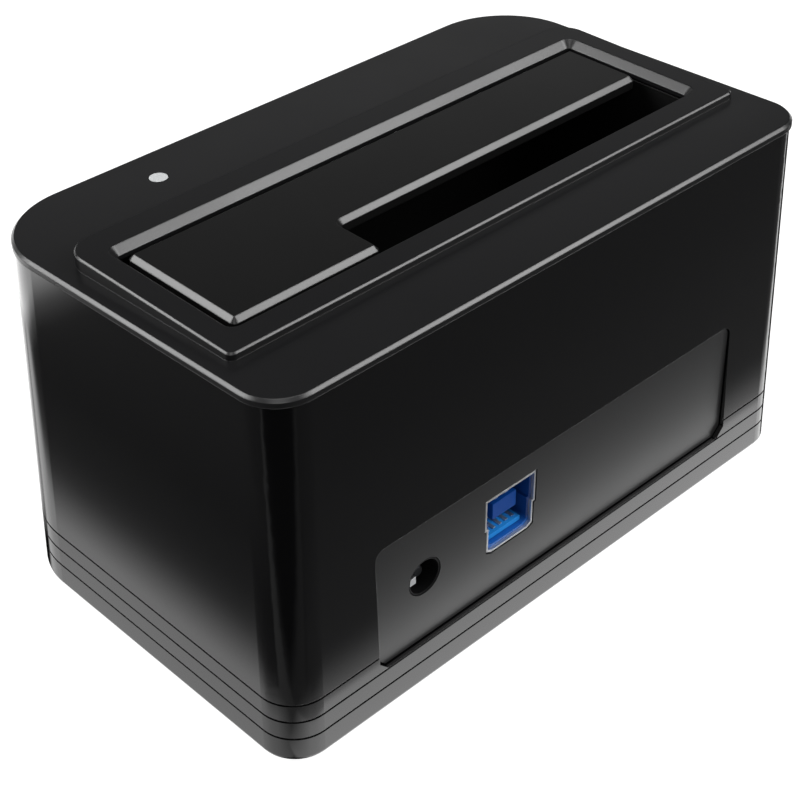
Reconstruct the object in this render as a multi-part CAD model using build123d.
from build123d import *
import os
from math import atan2, cos, hypot, sin, sqrt, tan

# Hard drive docking station, in millimetres. +Z is up and the port side faces +Y.
# The origin lies on the table, under the middle of the case.

# Case: plan at the rim of the top cover, and the height of the rim at the port side
length = 123.0
width = 73.4
height = 70.1
rear_corner = 7.25
front_corner = 15.6

# The cover slopes down to the side of the status light, and a level pad rises out of it
rim_drop = 2.2
pad_rise = 0.9

# Foot of the case: the rubber feet hold it off the table, and the tray ends at the lap
foot_gap = 0.8
lap_height = 9.2
groove_heights = (5.6, 12.7)
groove_width = 0.4
groove_depth = 0.3
foot_edge = 0.8

# Case walls: they lean out towards the foot, and the cover's rim stands a little proud of them
wall = 2.2
lip = 0.35
flare = 1.75
rim_thickness = 1.4
rim_edge = 0.5
roof_thickness = 2.1
skirt_thickness = 1.5
skirt_depth = 3.0
shadow_gap = 0.3
shadow_depth = 0.8
lap_tongue = 1.0
lap_depth = 2.0

# Gaps between pieces: pressed together, running on a pin, seated, sliding, standing free
press = 0.02
running = 0.05
seat = 0.1
slip = 0.2
free = 0.3

# Cutters run this far past the face that they break through
over = 1.0

# Raised pad round the drive opening
pad_end_margin = 3.8
pad_front_margin = 3.8
pad_rear_margin = 6.1
pad_front_corner = 5.0
pad_rear_corner = 1.2
pad_edge = 0.3
pad_wall = 1.7

# Drive opening, for a 3.5 inch drive on end, with a bevelled edge
opening_end_margin = 9.25
opening_front_share = 0.1458
opening_rear_share = 0.233
opening_corner = 0.8
opening_bevel = 1.3

# Trap door and its notch, for a 2.5 inch drive
door_gap = 1.1
door_drop = 0.7
door_thickness = 2.4
door_plate = 1.4
door_rim = 1.4
door_bevel = 0.85
door_corner = 1.0
notch_length_share = 0.7053
notch_width_share = 0.3885
door_ribs = 5
door_rib = 1.0
stop_reach = 2.1
stop_length = 22.0
stop_end_inset = 3.2
stop_thickness = 1.3

# Hinge of the trap door, under the front edge of the opening
hinge_setback = 2.8
rod_radius = 0.75
knuckle_radius = 1.7
knuckle_width = 3.0
knuckle_seat = 0.3
lug_radius = 1.8
lug_width = 2.0
station_margin = 4.15
station_width = 14.0
rod_overhang = 0.5
arm_thickness = 1.6
arm_reach = 3.0

# Torsion springs on the hinge rod, their fine wire drawn with eight sides
wire_radius = 0.25
wire_sides = 8
coil_radius = 1.28
coil_pitch = 1.0
coil_turns = 4
coil_start_angle = -94.0
coil_end_angle = 34.0
spring_leg = 3.5
spring_side_gap = 0.6

# Drive guide: the well that takes the drive
guide_wall = 1.8
guide_front_gap = 2.7
guide_rear_gap = 0.2
guide_floor = 1.8
guide_rib = 1.2
guide_rib_depth = 2.4
guide_rib_spread = 24.0
guide_rib_top_share = 0.35
ear_radius = 3.8
ear_thickness = 1.8
ear_end_inset = 2.25
ear_hole_y = 4.0
boss_radius = 2.5
stop_slot_width = 9.4

# Status light
light_end_margin = 30.8
light_front_margin = 8.6
light_radius = 1.6
pipe_radius = 1.4
pipe_collar_radius = 2.6
pipe_collar = 1.2
led_length = 3.2
led_width = 2.8
led_body = 1.2
led_lens_radius = 1.1
led_lens_rise = 0.55

# Main board, hung under the drive guide on four posts
board_thickness = 1.6
board_end_margin = 11.5
board_front_margin = 4.7
board_rear_margin = 5.7
board_corner = 4.0
post_height = 2.8
post_radius = 3.0
post_end_inset = 8.25
post_hole_y = 3.6

# Port panel: nearly flush at its top, and set back further at its foot by the wall's lean
panel_top_share = 0.4893
panel_port_margin = 17.6
panel_far_margin = 17.1
panel_far_lean = 0.9
panel_top_corner = 2.0
panel_foot_corner = 2.0
panel_recess = 0.2
panel_flange = 2.0
panel_flange_thickness = 1.6
panel_seam = 0.3

# USB 3.0 type B socket, mounted upside down
usb_panel_drop = 4.6
usb_length = 12.04
usb_upper = 6.5
usb_step = 0.45
usb_height = 11.6
usb_chamfer_x = 1.2
usb_chamfer_z = 0.6
usb_depth = 17.0
usb_sheet = 0.35
usb_mouth = 8.6
usb_tongue_length = 5.6
usb_tongue_height = 3.2
usb_tongue_drop = 4.8
usb_tongue_reach = 7.2
usb_blade_length = 8.0
usb_blade_height = 0.9
usb_blade_rise = 1.7
usb_contact = 0.7
usb_contact_sheet = 0.15
usb_contact_pitch = 2.5
usb_fast_pitch = 1.5
usb_fast_contacts = 5

# DC power jack, beside the USB socket
jack_end_inset = 10.9
jack_spacing = 20.05
jack_drop = 7.0
jack_ring_radius = 3.5
jack_bore_radius = 3.2
jack_length = 14.4
jack_body = 9.0
jack_bore_depth = 10.0
jack_pin_radius = 1.05
jack_pin_reach = 8.6
jack_pin_inset = 1.0
jack_leaf_length = 7.4
jack_leaf_width = 1.4
jack_leaf_sheet = 0.4
jack_leaf_lip = 1.5
jack_leaf_setback = 0.3

# SATA socket: 7 signal and 15 power contacts
sata_end_gap = 5.95
sata_rear_gap = 0.7
sata_length = 37.6
sata_width = 7.6
sata_shoulder = 1.1
sata_nose_width = 5.2
sata_rise = 5.0
sata_slot_width = 2.0
sata_slot_depth = 5.4
sata_slot_lengths = (11.2, 21.4)
sata_slot_starts = (1.6, 14.6)
sata_pin_counts = (7, 15)
sata_key = 1.2
sata_pitch = 1.27
sata_pin_width = 0.6
sata_pin_sheet = 0.3
sata_pin_height = 4.6

# Parts on the board: length, width and height of each body, and its place as shares of
# the board's half length and half width
chip_size = (9.0, 9.0, 0.9)
chip_share = (-0.08, -0.17)
chip_pads = 8
chip_pad_pitch = 1.0
chip_pad = 0.5
chip_pad_height = 0.25
memory_size = (5.0, 4.0, 1.5)
memory_share = (-0.4, -0.17)
memory_legs = 4
memory_leg_pitch = 1.27
leg_width = 0.4
leg_reach = 1.0
leg_height = 0.5
crystal_size = (11.0, 4.6, 3.4)
crystal_share = (-0.08, 0.27)
crystal_base = 0.6
crystal_base_edge = 0.5
inductor_size = (6.6, 6.6, 3.0)
inductor_shares = ((0.8, 0.0), (0.56, 0.0))
inductor_corner = 1.4
inductor_cap_radius = 2.4
inductor_cap = 0.4
capacitor_radius = 3.15
capacitor_height = 7.4
capacitor_base = 1.2
capacitor_foot_corner = 1.3
capacitor_groove = 0.35
capacitor_groove_height = 2.2
capacitor_shares = ((0.76, -0.38), (0.54, -0.38), (-0.72, -0.4))
regulator_size = (6.5, 6.1, 2.3)
regulator_share = (0.28, 0.1)
regulator_tab = 0.9
regulator_tab_reach = 1.2
regulator_legs = 3
regulator_leg_pitch = 2.28

# Screws, each with a low head that is bevelled at its rim
screw_radius = 1.1
screw_head_radius = 2.2
screw_head = 1.5
screw_head_bevel = 0.5
guide_screw_length = 6.5
board_screw_length = 5.3
case_screw_length = 9.0

# Screw posts in the corners of the housing, and the bosses under them
corner_post_radius = 3.2
corner_post_end_margin = 7.7
corner_post_front_margin = 8.5
corner_post_rear_margin = 7.7
corner_post_drop = 2.0
corner_rib = 1.4
tray_boss_radius = 4.6
tray_boss_height = 2.0
tray_head_roof = 1.6

# Rubber feet
foot_radius = 5.0
foot_end_margin = 17.5
foot_side_margin = 12.7
foot_recess = 0.6
foot_bevel = 0.3

# Shallow field for the rating label under the tray
label_length_share = 0.49
label_width_share = 0.41
label_depth = 0.3

# Derived heights and slopes
half_length = length / 2
half_width = width / 2
front_height = height - rim_drop
pad_height = height + pad_rise
slope = atan2(rim_drop, width)
seam_height = height - rim_thickness
lean = (flare + lip) / (seam_height - foot_gap)
floor_top = foot_gap + wall
tall = 2 * pad_height
top_plane = Plane(
    origin=(0, 0, height - rim_drop / 2),
    x_dir=(1, 0, 0),
    z_dir=(0, -sin(slope), cos(slope)),
)

# Derived places of pad, opening and trap door
pad_end = half_length - pad_end_margin
pad_roof = pad_height - roof_thickness
opening_end = half_length - opening_end_margin
opening_front = -opening_front_share * width
opening_rear = opening_rear_share * width
door_top = pad_height - door_drop
door_under = door_top - door_thickness
door_front = opening_front + door_gap
door_rear = opening_rear - door_gap
door_end = opening_end - door_gap
notch_front = opening_rear - notch_width_share * (opening_rear - opening_front)
notch_end = 2 * opening_end * notch_length_share - opening_end
stop_top = pad_roof - free
hinge_y = opening_front - hinge_setback
pad_front = hinge_y - pad_front_margin
pad_rear = opening_rear + pad_rear_margin
hinge_height = pad_roof - free - knuckle_radius
arm_top = hinge_height + knuckle_radius
station_outer = door_end - station_margin
station_inner = station_outer - station_width

# Derived places of panel, ports and board
panel_top = panel_top_share * height
usb_top = panel_top - usb_panel_drop
usb_bottom = usb_top - usb_height
board_under = usb_top + seat
board_top = board_under + board_thickness
board_end = half_length - board_end_margin
board_front = board_front_margin - half_width
board_rear = half_width - board_rear_margin
panel_thickness = wall + seat - panel_recess + panel_flange * lean
panel_port_end = half_length - panel_port_margin
panel_far_end = half_length - panel_far_margin
jack_x = panel_port_end - jack_end_inset
jack_z = usb_top - jack_drop
usb_x = jack_x - jack_spacing
usb_tongue_z = usb_top - usb_tongue_drop
usb_blade_z = usb_bottom + usb_blade_rise
light_x = half_length - light_end_margin
light_y = light_front_margin - half_width

# Derived places in the drive guide: its long walls end under the sweep of the door's stop tab
guide_floor_under = board_top + post_height
guide_floor_top = guide_floor_under + guide_floor
guide_front = opening_front - guide_front_gap
guide_rear = opening_rear + guide_rear_gap
stop_sweep = hypot(door_rear + stop_reach - hinge_y, stop_top - hinge_height) + free
guide_side_top = hinge_height - sqrt(stop_sweep**2 - (guide_rear - hinge_y) ** 2) - free
ear_x = opening_end - ear_end_inset
post_x = opening_end - post_end_inset
sata_x = sata_end_gap + sata_length / 2 - opening_end
sata_y = guide_rear - sata_rear_gap - sata_width / 2
sata_top = guide_floor_top + sata_rise

# Derived places of posts and feet
corner_post_x = half_length - corner_post_end_margin
corner_post_front_y = corner_post_front_margin - half_width
corner_post_rear_y = half_width - corner_post_rear_margin
corner_post_top = board_under - corner_post_drop
tray_boss_top = floor_top + tray_boss_height
foot_x = half_length - foot_end_margin
foot_y = half_width - foot_side_margin


def box(x_low, x_high, y_low, y_high, z_low, z_high):
    """Block between two corners."""
    middle = ((x_low + x_high) / 2, (y_low + y_high) / 2, (z_low + z_high) / 2)
    return Pos(*middle) * Box(x_high - x_low, y_high - y_low, z_high - z_low)


def rod(radius, z_low, z_high, x=0, y=0):
    """Upright cylinder."""
    return Pos(x, y, (z_low + z_high) / 2) * Cylinder(radius, z_high - z_low)


def along_x(sketch, x_low, x_high):
    """Extrude a sketch drawn in Y and Z from one end to the other."""
    return extrude(Plane.YZ.offset(x_low) * sketch, x_high - x_low)


def along_y(sketch, y_low, y_high):
    """Extrude a sketch drawn in X and Z from front to rear."""
    return extrude(Plane.XZ.offset(-y_high) * sketch, y_high - y_low)


def plan(inset, spread=0):
    """Outline of the case from above, set in from the cover's rim, its sides then moved out."""
    outline = Rectangle(length + 2 * (spread - inset), width + 2 * (spread - inset))
    outline = fillet(outline.vertices().group_by(Axis.Y)[0], front_corner - inset)
    return fillet(outline.vertices().group_by(Axis.Y)[-1], rear_corner - inset)


def spread_at(z):
    """How far the walls have leaned out at a height, measured from the seam under the cover."""
    return (seam_height - z) * lean


def flared(z_low, z_high, inset=0):
    """Block with the case's leaning walls, set in from the outer face, its corners of one radius."""
    foot = Pos(0, 0, z_low) * plan(lip + inset, spread_at(z_low))
    head = Pos(0, 0, z_high) * plan(lip + inset, spread_at(z_high))
    return loft([foot, head], ruled=True)


def under_slope(depth):
    """Everything below the sloped top, moved down by depth."""
    return top_plane * Pos(0, 0, -depth - tall / 2) * Box(2 * length, 2 * length, tall)


def groove(height):
    """Thin line cut round the foot of the case."""
    low = height - groove_width / 2
    high = height + groove_width / 2
    return flared(low, high, -over) - flared(low, high, groove_depth)


def corner_posts():
    """The four places where case screws rise, each with the signs of its corner."""
    return [
        (side * corner_post_x, y, side, 1 if y > 0 else -1)
        for side in (-1, 1)
        for y in (corner_post_front_y, corner_post_rear_y)
    ]


def guide_ears():
    """Middles of the four screw ears of the drive guide, with the side that they stand on."""
    front = (guide_front - guide_wall - ear_hole_y, -1)
    rear = (guide_rear + guide_wall + ear_hole_y, 1)
    return [(side * ear_x, y, facing) for side in (-1, 1) for y, facing in (front, rear)]


def board_posts():
    """Middles of the four posts between drive guide and board, with the side that they stand on."""
    front = (guide_front - guide_wall - post_hole_y, -1)
    rear = (guide_rear + guide_wall + post_hole_y, 1)
    return [(side * post_x, y, facing) for side in (-1, 1) for y, facing in (front, rear)]


def panel_outline(gap):
    """The port panel in X and Z, smaller than its cut-out by gap all round."""
    low = lap_height + gap
    high = panel_top - gap
    port_end = panel_port_end - gap
    far_end = -panel_far_end + gap
    corners = [(port_end, low), (port_end, high), (far_end, high), (far_end - panel_far_lean, low)]
    sheet = make_face(Polyline(*corners, close=True))
    sheet = fillet(sheet.vertices().group_by(Axis.Y)[-1], panel_top_corner - gap)
    return chamfer(sheet.vertices().group_by(Axis.Y)[0], panel_foot_corner - gap)


def panel_face():
    """Y of the port panel's outer face."""
    return half_width - lip + spread_at(panel_top) - panel_recess


def usb_outline(gap):
    """Section of the USB socket: a full upper part and a narrower foot with cut corners."""
    wide = usb_length / 2 + gap
    narrow = wide - usb_step
    low = usb_bottom - gap
    step = usb_top - usb_upper - gap
    points = [
        (wide, usb_top + gap),
        (wide, step),
        (narrow, step),
        (narrow, low + usb_chamfer_z),
        (narrow - usb_chamfer_x, low),
    ]
    left = [(-x, z) for x, z in reversed(points)]
    return Pos(usb_x, 0) * make_face(Polyline(*points, *left, close=True))


def base_tray():
    """Shallow foot of the case, with a tongue that the housing fits over."""
    tray = flared(foot_gap, lap_height)
    tray = fillet(tray.edges().group_by(Axis.Z)[0], foot_edge)
    tray -= flared(floor_top, lap_height + over, wall)
    tongue_top = lap_height + lap_depth
    tongue = flared(floor_top, tongue_top, wall - lap_tongue) - flared(floor_top, tongue_top, wall)
    port_end = panel_port_end + panel_flange + free
    far_end = panel_far_end + panel_far_lean + panel_flange + free
    tongue -= box(-far_end, port_end, 0, width, lap_height, tongue_top + over)
    tray += tongue
    for line in (groove_heights[0], lap_height):
        tray -= groove(line)
    head_roof = tray_boss_top - tray_head_roof
    for x, y, side, end in corner_posts():
        tray += rod(tray_boss_radius, floor_top, tray_boss_top, x, y)
        tray -= rod(screw_head_radius + slip, 0, head_roof, x, y)
        tray -= rod(screw_radius + seat, 0, tray_boss_top + over, x, y)
    for x in (-foot_x, foot_x):
        for y in (-foot_y, foot_y):
            tray -= rod(foot_radius + seat, 0, foot_gap + foot_recess, x, y)
    label_x = label_length_share * half_length
    label_y = label_width_share * half_width
    return tray - box(-label_x, label_x, -label_y, label_y, 0, foot_gap + label_depth)


def main_housing():
    """Sleeve with leaning walls, open above and below, and a cut-out for the port panel."""
    shell = flared(lap_height, pad_height) - flared(0, pad_height + over, wall)
    shell &= under_slope(rim_thickness)
    band_low = front_height - rim_thickness - over
    band = flared(band_low, pad_height, -over) - flared(band_low, pad_height, shadow_depth)
    shell -= band - under_slope(rim_thickness + shadow_gap)
    shell -= flared(0, lap_height + lap_depth + slip, wall - lap_tongue - slip)
    for line in (lap_height, groove_heights[1]):
        shell -= groove(line)
    rib_low = lap_height + lap_depth + 2 * slip
    half = corner_rib / 2
    for x, y, side, end in corner_posts():
        low_x, high_x = sorted((x, side * length))
        low_y, high_y = sorted((y, end * width))
        ribs = box(low_x, high_x, y - half, y + half, rib_low, corner_post_top)
        ribs += box(x - half, x + half, low_y, high_y, rib_low, corner_post_top)
        shell += ribs & flared(rib_low, corner_post_top, wall / 2)
        shell += rod(corner_post_radius, tray_boss_top + seat, corner_post_top, x, y)
        shell -= rod(screw_radius + press, 0, tray_boss_top + case_screw_length, x, y)
    shell -= along_y(panel_outline(0), 0, width)
    return shell


def pad_block():
    """Level pad that rises out of the sloped cover."""
    middle = (pad_front + pad_rear) / 2
    outline = Pos(0, middle) * Rectangle(2 * pad_end, pad_rear - pad_front)
    outline = fillet(outline.vertices().group_by(Axis.Y)[0], pad_front_corner)
    outline = fillet(outline.vertices().group_by(Axis.Y)[-1], pad_rear_corner)
    low = front_height - rim_thickness
    pad = extrude(Pos(0, 0, low) * outline, pad_height - low)
    pad = chamfer(pad.edges().group_by(Axis.Z)[-1], pad_edge)
    return pad - under_slope(roof_thickness)


def pad_hollow():
    """Space under the pad, with its roof as thick as the cover."""
    half = pad_end - pad_wall
    return box(-half, half, pad_front + pad_wall, pad_rear - pad_wall, guide_side_top, pad_roof)


def drive_opening():
    """Cutter for the drive opening, wider at the top by its bevel."""
    middle = (opening_front + opening_rear) / 2
    outline = Pos(0, middle) * Rectangle(2 * opening_end, opening_rear - opening_front)
    outline = fillet(outline.vertices(), opening_corner)
    straight = extrude(Pos(0, 0, guide_side_top) * outline, pad_height - guide_side_top)
    rise = opening_bevel + over
    low = pad_height - opening_bevel
    return straight + extrude(Pos(0, 0, low) * outline, rise, taper=-45)


def hinge_lug(x_low, x_high):
    """Lug under the cover that holds the hinge rod."""
    front = hinge_y - lug_radius
    rear = hinge_y + lug_radius
    eye = along_x(Pos(hinge_y, hinge_height) * Circle(lug_radius), x_low, x_high)
    return eye + box(x_low, x_high, front, rear, hinge_height, pad_roof + seat)


def top_cover():
    """Sloped cover with a raised pad, the drive opening, hinge lugs and screw bosses."""
    rim = chamfer(extrude(plan(0), -rim_thickness).edges().group_by(Axis.Z)[-1], rim_edge)
    plug_inset = lip + wall + slip
    plug = extrude(plan(plug_inset), -roof_thickness)
    skirt = plan(plug_inset) - plan(plug_inset + skirt_thickness)
    cover = top_plane * (rim + plug + extrude(skirt, -rim_thickness - skirt_depth))
    cover += pad_block()
    cover -= pad_hollow()
    cover -= drive_opening()
    for x, y, facing in guide_ears():
        boss = rod(boss_radius, guide_side_top, pad_height, x, y)
        cover += boss & under_slope(rim_thickness)
        cover -= rod(screw_radius + press, 0, guide_side_top + guide_screw_length, x, y)
    for side in (-1, 1):
        for start in (station_inner, station_outer - lug_width):
            low, high = sorted((side * start, side * (start + lug_width)))
            cover += hinge_lug(low, high)
    cover -= along_x(Pos(hinge_y, hinge_height) * Circle(rod_radius + press), -length / 2, length / 2)
    cover -= rod(light_radius + running, guide_side_top, pad_height, light_x, light_y)
    return cover


def port_panel():
    """Plate set back in the rear cut-out, with a flange behind the wall that stands on the tray."""
    face = panel_face()
    back = face - panel_thickness
    plate = along_y(panel_outline(panel_seam), back, face)
    low = lap_height + panel_flange
    far_end = panel_far_end + panel_far_lean
    flange_back = back - panel_flange_thickness
    flange = box(-far_end - panel_flange, panel_port_end + panel_flange, flange_back, back,
                 floor_top + seat, panel_top + panel_flange)
    flange -= box(panel_flange - far_end, panel_port_end - panel_flange, flange_back - over, back,
                  low, panel_top - panel_flange)
    panel = plate + flange
    panel -= along_y(usb_outline(slip), 0, width)
    hole = Pos(jack_x, jack_z) * Circle(jack_ring_radius + seat)
    return panel - along_y(hole, 0, width)


def tab(x, y, facing, radius, z_low, z_high):
    """Round-ended tab that stands out from the drive guide's front or rear wall."""
    wall_face = guide_rear if facing > 0 else guide_front
    low, high = sorted((wall_face, y))
    return box(x - radius, x + radius, low, high, z_low, z_high) + rod(radius, z_low, z_high, x, y)


def drive_guide():
    """Well that takes the drive, hung from the cover and carrying the main board."""
    end = opening_end + guide_wall
    front = guide_front - guide_wall
    rear = guide_rear + guide_wall
    guide = box(-end, end, front, rear, guide_floor_under, guide_side_top)
    for x, y, facing in guide_ears():
        guide += tab(x, y, facing, ear_radius, guide_side_top - ear_thickness, guide_side_top)
    for x, y, facing in board_posts():
        guide += tab(x, y, facing, post_radius, guide_floor_under, guide_floor_top)
        guide += rod(post_radius, board_top, guide_floor_under, x, y)
    for x in (-guide_rib_spread, 0, guide_rib_spread):
        for foot, out in ((front, -guide_rib_depth), (rear, guide_rib_depth)):
            points = [
                (foot, guide_floor_under),
                (foot + out, guide_floor_under),
                (foot + out * guide_rib_top_share, guide_side_top),
                (foot, guide_side_top),
            ]
            rib = make_face(Polyline(*points, close=True))
            guide += along_x(rib, x - guide_rib / 2, x + guide_rib / 2)
    guide += box(-end, end, front, rear, guide_side_top - over, pad_roof - free)
    guide -= box(-opening_end, opening_end, guide_front, guide_rear, guide_floor_top, pad_height)
    guide -= box(-opening_end, opening_end, front - over, rear + over, guide_side_top, pad_height)
    socket_x = sata_length / 2 + free
    socket_y = sata_width / 2 + free
    guide -= box(sata_x - socket_x, sata_x + socket_x, sata_y - socket_y, sata_y + socket_y,
                 0, guide_side_top)
    slot_high = door_end - stop_end_inset + free
    slot_low = slot_high - stop_length - 2 * free
    guide -= box(slot_low, slot_high, guide_front, guide_front + stop_slot_width, 0, guide_side_top)
    for x, y, facing in guide_ears():
        guide -= rod(screw_radius + seat, guide_floor_top, pad_height, x, y)
    for x, y, facing in board_posts():
        guide -= rod(screw_radius + press, 0, board_under + board_screw_length + seat, x, y)
    return guide


def door_outline(inset):
    """The trap door from above, with its notch, smaller by inset all round."""
    end = door_end - inset
    front = door_front + inset
    rear = door_rear - inset
    notch_x = notch_end + inset
    notch_y = notch_front - inset
    points = [
        (-end, front),
        (end, front),
        (end, rear),
        (notch_x, rear),
        (notch_x, notch_y),
        (-end, notch_y),
    ]
    outline = make_face(Polyline(*points, close=True))
    return fillet(outline.vertices(), door_corner)


def trap_door():
    """Flap with a bevelled edge, a ribbed underside, hinge knuckles and a stop tab."""
    door = extrude(Pos(0, 0, door_under) * door_outline(0), door_thickness)
    door = chamfer(door.edges().group_by(Axis.Z)[-1], door_bevel)
    depth = door_thickness - door_plate
    pocket = extrude(Pos(0, 0, door_under) * door_outline(door_rim), depth)
    pitch = 2 * door_end / (door_ribs + 1)
    for i in range(door_ribs):
        x = -door_end + (i + 1) * pitch
        pocket -= box(x - door_rib / 2, x + door_rib / 2, door_front, door_rear, 0, pad_height)
    door -= pocket
    tab_high = door_end - stop_end_inset
    door += box(tab_high - stop_length, tab_high, door_rear - door_rim, door_rear + stop_reach,
                stop_top - stop_thickness, stop_top)
    for side in (-1, 1):
        start = station_inner + lug_width + knuckle_seat
        low, high = sorted((side * start, side * (start + knuckle_width)))
        door += along_x(Pos(hinge_y, hinge_height) * Circle(knuckle_radius), low, high)
        door += box(low, high, hinge_y, door_front + arm_reach, arm_top - arm_thickness, arm_top)
    bore = Pos(hinge_y, hinge_height) * Circle(rod_radius + running)
    return door - along_x(bore, -length / 2, length / 2)


def hinge_rod():
    """Steel rod that carries the trap door."""
    reach = station_outer + rod_overhang
    return along_x(Pos(hinge_y, hinge_height) * Circle(rod_radius), -reach, reach)


def spring_path():
    """Middle line of a torsion spring about Z: a leg, the coil and a second leg."""
    coil = Helix(coil_pitch, coil_pitch * (coil_turns + coil_end_angle / 360), coil_radius)
    first = Line(coil @ 0 - (coil % 0) * spring_leg, coil @ 0)
    last = Line(coil @ 1, coil @ 1 + (coil % 1) * spring_leg)
    return Wire([first.edge(), coil.edge(), last.edge()])


def spring_gap():
    """Least gap between neighbouring turns of the spring, measured on points of its middle line."""
    count = 400
    path = spring_path()
    points = [path @ (i / count) for i in range(count + 1)]
    turn = 2 * coil_radius
    step = path.length / count
    apart = int(turn / step)
    gaps = [
        (points[i] - points[j]).length
        for i in range(count + 1)
        for j in range(i + apart, count + 1)
    ]
    return min(gaps) - 2 * wire_radius


def door_spring(side):
    """Torsion spring that closes the trap door: one leg under the cover, one under the door."""
    path = spring_path()
    section = Plane(origin=path @ 0, z_dir=path % 0) * RegularPolygon(wire_radius, wire_sides)
    tube = sweep(section, path)
    start = station_inner + lug_width + 2 * knuckle_seat + knuckle_width + spring_side_gap
    placed = Pos(start, hinge_y, hinge_height) * Plane.YZ.location * Rot(0, 0, coil_start_angle) * tube
    return placed if side > 0 else mirror(placed, Plane.YZ)


def light_pipe():
    """Clear rod from the status LED to a round window flush with the cover."""
    top = height + (light_y - half_width) * tan(slope)
    collar_top = top - roof_thickness - 2 * seat
    collar_low = collar_top - pipe_collar
    pipe = rod(light_radius, collar_low, pad_height, light_x, light_y) & under_slope(0)
    pipe += rod(pipe_collar_radius, collar_low, collar_top, light_x, light_y)
    led_top = board_top + led_body + led_lens_rise
    return pipe + rod(pipe_radius, led_top + free, collar_top, light_x, light_y)


def status_led():
    """Surface-mounted LED with a low bevelled lens."""
    half_x = led_length / 2
    half_y = led_width / 2
    body = box(light_x - half_x, light_x + half_x, light_y - half_y, light_y + half_y,
               board_top, board_top + led_body)
    low = board_top + led_body
    lens = rod(led_lens_radius, low, low + led_lens_rise, light_x, light_y)
    return body + chamfer(lens.edges().group_by(Axis.Z)[-1], led_lens_rise / 2)


def main_board():
    """Glass-epoxy board under the drive guide."""
    middle = (board_front + board_rear) / 2
    outline = Pos(0, middle) * Rectangle(2 * board_end, board_rear - board_front)
    outline = chamfer(outline.vertices(), board_corner)
    board = extrude(Pos(0, 0, board_under) * outline, board_thickness)
    for x, y, facing in board_posts():
        board -= rod(screw_radius + seat, 0, pad_height, x, y)
    return board


def usb_shell():
    """Sheet-steel shell, closed at the back and open at the panel."""
    front = panel_face() - seat
    back = front - usb_depth
    shell = along_y(usb_outline(0), back, front)
    return shell - along_y(usb_outline(-usb_sheet), back + usb_sheet, front + over)


def usb_insulator():
    """Plastic block at the back of the socket with its tongue and the blade under it."""
    front = panel_face() - seat
    back = front - usb_depth + usb_sheet
    floor = front - usb_mouth
    block = along_y(usb_outline(-usb_sheet - press), back, floor)
    half = usb_tongue_length / 2
    rise = usb_tongue_height / 2
    block += box(usb_x - half, usb_x + half, floor - over, floor + usb_tongue_reach,
                 usb_tongue_z - rise, usb_tongue_z + rise)
    half = usb_blade_length / 2
    rise = usb_blade_height / 2
    return block + box(usb_x - half, usb_x + half, floor - over, floor + usb_tongue_reach,
                       usb_blade_z - rise, usb_blade_z + rise)


def usb_contacts():
    """Contact strips on both faces of the tongue and on the upper face of the blade."""
    floor = panel_face() - seat - usb_mouth
    tip = floor + usb_tongue_reach - usb_contact
    half = usb_contact / 2
    strips = []
    upper = usb_tongue_z + usb_tongue_height / 2
    lower = usb_tongue_z - usb_tongue_height / 2 - usb_contact_sheet
    for offset in (-usb_contact_pitch / 2, usb_contact_pitch / 2):
        x = usb_x + offset
        for low in (lower, upper):
            strips.append(box(x - half, x + half, floor, tip, low, low + usb_contact_sheet))
    low = usb_blade_z + usb_blade_height / 2
    for i in range(usb_fast_contacts):
        x = usb_x + (i - (usb_fast_contacts - 1) / 2) * usb_fast_pitch
        strips.append(box(x - half, x + half, floor, tip, low, low + usb_contact_sheet))
    return Compound(strips)


def jack_round(radius, y_low, y_high):
    """Cylinder along Y on the middle line of the power jack."""
    return along_y(Pos(jack_x, jack_z) * Circle(radius), y_low, y_high)


def dc_jack_body():
    """Moulded body that hangs from the board, with a round mouth through the panel."""
    face = panel_face() - seat
    front = face - panel_thickness
    back = front - jack_length
    half = jack_body / 2
    body = box(jack_x - half, jack_x + half, back, front, jack_z - half, board_under - press)
    body += jack_round(jack_ring_radius, front - over, face)
    body -= jack_round(jack_bore_radius, face - jack_bore_depth, face + over)
    return body - jack_round(jack_pin_radius + press, back + jack_pin_inset, face)


def dc_jack_pin():
    """Centre pin of the power jack."""
    back = panel_face() - seat - panel_thickness - jack_length + jack_pin_inset
    tip = panel_face() - seat - jack_bore_depth + jack_pin_reach
    pin = jack_round(jack_pin_radius, back, tip)
    return chamfer(pin.edges().group_by(Axis.Y)[-1], slip)


def dc_jack_spring():
    """Leaf contact along the wall of the bore, its end bent in across the mouth."""
    front = panel_face() - seat - jack_leaf_setback
    outer = jack_x + jack_bore_radius - seat
    half = jack_leaf_width / 2
    low = jack_z - half
    high = jack_z + half
    leaf = box(outer - jack_leaf_sheet, outer, front - jack_leaf_length, front, low, high)
    return leaf + box(outer - jack_leaf_lip, outer, front - jack_leaf_sheet, front, low, high)


def sata_slots():
    """Start and length in X of the signal slot and the power slot."""
    low = sata_x - sata_length / 2
    return [(low + start, size) for start, size in zip(sata_slot_starts, sata_slot_lengths)]


def sata_socket_body():
    """Socket body with two keyed slots, standing on the board."""
    half_foot = sata_width / 2
    half_nose = sata_nose_width / 2
    low = sata_x - sata_length / 2
    high = sata_x + sata_length / 2
    shoulder = guide_floor_top + sata_shoulder
    body = box(low, high, sata_y - half_foot, sata_y + half_foot, board_top, shoulder)
    body += box(low, high, sata_y - half_nose, sata_y + half_nose, board_top, sata_top)
    body = chamfer(body.edges().group_by(Axis.Z)[-1], seat)
    half_slot = sata_slot_width / 2
    slot_floor = sata_top - sata_slot_depth
    for start, size in sata_slots():
        body -= box(start, start + size, sata_y - half_slot, sata_y + half_slot, slot_floor, pad_height)
        body -= box(start, start + sata_key, sata_y - half_slot - sata_key / 2,
                    sata_y + half_slot, slot_floor, pad_height)
    return body


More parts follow.
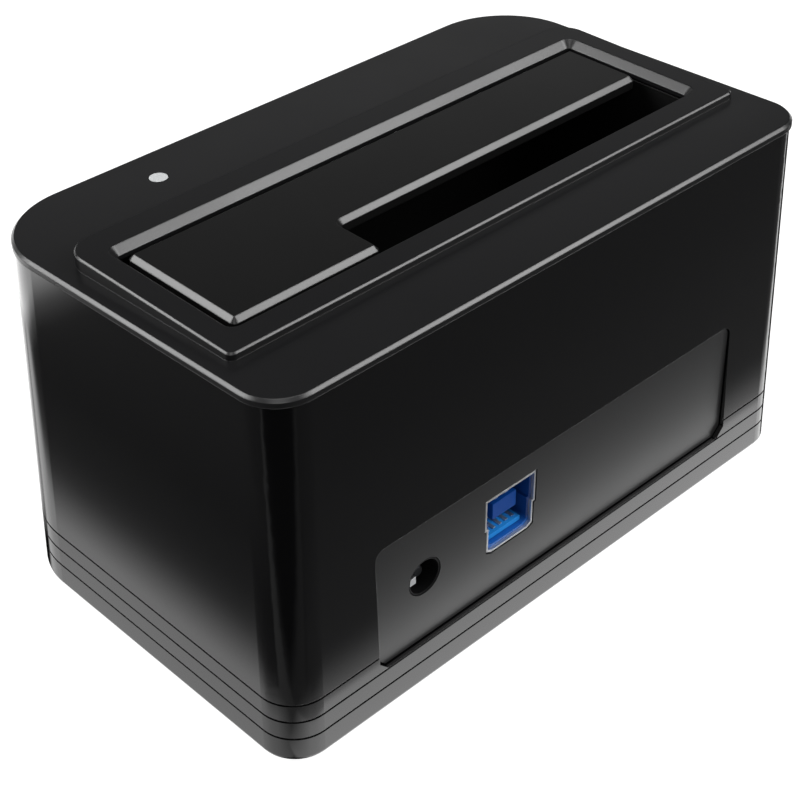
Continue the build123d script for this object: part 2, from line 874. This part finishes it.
def sata_contacts():
    """Seven signal and fifteen power contacts along the rear walls of the slots."""
    rear = sata_y + sata_slot_width / 2
    low = sata_top - sata_slot_depth
    half = sata_pin_width / 2
    pins = []
    for (start, size), count in zip(sata_slots(), sata_pin_counts):
        for i in range(count):
            x = start + size / 2 + (i - (count - 1) / 2) * sata_pitch
            pins.append(box(x - half, x + half, rear - sata_pin_sheet, rear, low, low + sata_pin_height))
    return Compound(pins)


def hung(size, place, gap):
    """Block that hangs under the board with a gap between them."""
    x, y = place
    half_x = size[0] / 2
    half_y = size[1] / 2
    top = board_under - gap
    return box(x - half_x, x + half_x, y - half_y, y + half_y, top - size[2], top)


def on_board(share):
    """Place on the board from its shares of half length and half width."""
    return share[0] * board_end, share[1] * half_width


def bridge_chip():
    """Square flat chip on its rows of pads."""
    x, y = on_board(chip_share)
    chip = hung(chip_size, (x, y), chip_pad_height)
    half = chip_size[0] / 2 - chip_pad / 2
    for i in range(chip_pads):
        along = (i - (chip_pads - 1) / 2) * chip_pad_pitch
        for side in (-half, half):
            for place in ((x + along, y + side), (x + side, y + along)):
                chip += hung((chip_pad, chip_pad, chip_pad_height), place, 0)
    return chip


def legs_along(body, place, width_y, count, pitch, sides):
    """Add short bent legs from the body's sides up to the board."""
    x, y = place
    for side in sides:
        edge = y + side * width_y / 2
        low_y, high_y = sorted((edge - side * leg_width, edge + side * leg_reach))
        for i in range(count):
            middle = x + (i - (count - 1) / 2) * pitch
            half = leg_width / 2
            body += box(middle - half, middle + half, low_y, high_y, board_under - leg_height, board_under)
    return body


def flash_chip():
    """Small eight-legged memory chip."""
    place = on_board(memory_share)
    body = hung(memory_size, place, leg_height / 2)
    return legs_along(body, place, memory_size[1], memory_legs, memory_leg_pitch, (-1, 1))


def crystal():
    """Low metal can with rounded ends on a thin base."""
    place = on_board(crystal_share)
    can = hung(crystal_size, place, 0)
    can = fillet(can.edges().filter_by(Axis.Z), crystal_size[1] / 2 - seat)
    base_length = crystal_size[0] + 2 * crystal_base_edge
    base_width = crystal_size[1] + 2 * crystal_base_edge
    return can + hung((base_length, base_width, crystal_base), place, 0)


def power_inductors():
    """Two square shielded inductors with a round core face."""
    blocks = []
    for place in map(on_board, inductor_shares):
        block = hung(inductor_size, place, 0)
        block = chamfer(block.edges().filter_by(Axis.Z), inductor_corner)
        low = board_under - inductor_size[2]
        blocks.append(block + rod(inductor_cap_radius, low - inductor_cap, low, *place))
    return Compound(blocks)


def electrolytic_capacitors():
    """Three round cans with a rolled groove, each on a square foot with two cut corners."""
    cans = []
    for x, y in map(on_board, capacitor_shares):
        side = 2 * (capacitor_radius + seat)
        foot = hung((side, side, capacitor_base), (x, y), 0)
        foot = chamfer(foot.edges().filter_by(Axis.Z).group_by(Axis.X)[0], capacitor_foot_corner)
        can = rod(capacitor_radius, board_under - capacitor_height, board_under, x, y)
        can = chamfer(can.edges().group_by(Axis.Z)[0], capacitor_groove)
        low = board_under - capacitor_groove_height
        ring = rod(capacitor_radius + over, low, low + capacitor_groove, x, y)
        ring -= rod(capacitor_radius - capacitor_groove, low, low + capacitor_groove, x, y)
        cans.append(foot + can - ring)
    return Compound(cans)


def voltage_regulator():
    """Power package with a wide tab on one side and three legs on the other."""
    x, y = on_board(regulator_share)
    body = hung(regulator_size, (x, y), 0)
    tab_y = y + (regulator_size[1] + regulator_tab_reach) / 2
    tab_length = regulator_size[0] - 2 * leg_width
    body += hung((tab_length, regulator_tab_reach, regulator_tab), (x, tab_y), 0)
    return legs_along(body, (x, y), regulator_size[1], regulator_legs, regulator_leg_pitch, (-1,))


def screw(x, y, under_face, shank):
    """Screw driven upwards, its head against the face above it."""
    low = under_face - screw_head
    head = rod(screw_head_radius, low, under_face, x, y)
    head = chamfer(head.edges().group_by(Axis.Z)[0], screw_head_bevel)
    return head + rod(screw_radius, under_face, under_face + shank, x, y)


def guide_screws():
    """Four screws through the ears of the drive guide into the cover's bosses."""
    low = guide_side_top - ear_thickness
    return Compound([screw(x, y, low, guide_screw_length) for x, y, facing in guide_ears()])


def board_screws():
    """Four screws through the board into the posts of the drive guide."""
    return Compound([screw(x, y, board_under, board_screw_length) for x, y, facing in board_posts()])


def case_screws():
    """Four screws through the tray into the housing's corner posts."""
    low = tray_boss_top - tray_head_roof
    return Compound([screw(x, y, low, case_screw_length) for x, y, side, end in corner_posts()])


def rubber_feet():
    """Four round feet, half sunk in the tray."""
    feet = []
    for x in (-foot_x, foot_x):
        for y in (-foot_y, foot_y):
            foot = rod(foot_radius, 0, foot_gap + foot_recess, x, y)
            feet.append(chamfer(foot.edges().group_by(Axis.Z)[0], foot_bevel))
    return Compound(feet)


nodes = {
    "base_tray": base_tray(),
    "main_housing": main_housing(),
    "top_cover": top_cover(),
    "port_panel": port_panel(),
    "drive_guide": drive_guide(),
    "trap_door": trap_door(),
    "hinge_rod": hinge_rod(),
    "door_spring_left": door_spring(-1),
    "door_spring_right": door_spring(1),
    "light_pipe": light_pipe(),
    "status_led": status_led(),
    "main_board": main_board(),
    "sata_socket_body": sata_socket_body(),
    "sata_contacts": sata_contacts(),
    "usb_shell": usb_shell(),
    "usb_insulator": usb_insulator(),
    "usb_contacts": usb_contacts(),
    "dc_jack_body": dc_jack_body(),
    "dc_jack_pin": dc_jack_pin(),
    "dc_jack_spring": dc_jack_spring(),
    "bridge_chip": bridge_chip(),
    "flash_chip": flash_chip(),
    "crystal": crystal(),
    "power_inductors": power_inductors(),
    "electrolytic_capacitors": electrolytic_capacitors(),
    "voltage_regulator": voltage_regulator(),
    "guide_screws": guide_screws(),
    "board_screws": board_screws(),
    "case_screws": case_screws(),
    "rubber_feet": rubber_feet(),
}

os.makedirs("parts", exist_ok=True)
for name, shape in nodes.items():
    export_step(shape, f"parts/{name}.step")
    print(name, len(shape.solids()), "solids", round(shape.volume), "cubic mm")
print("least gap between turns of the door spring", round(spring_gap(), 3))
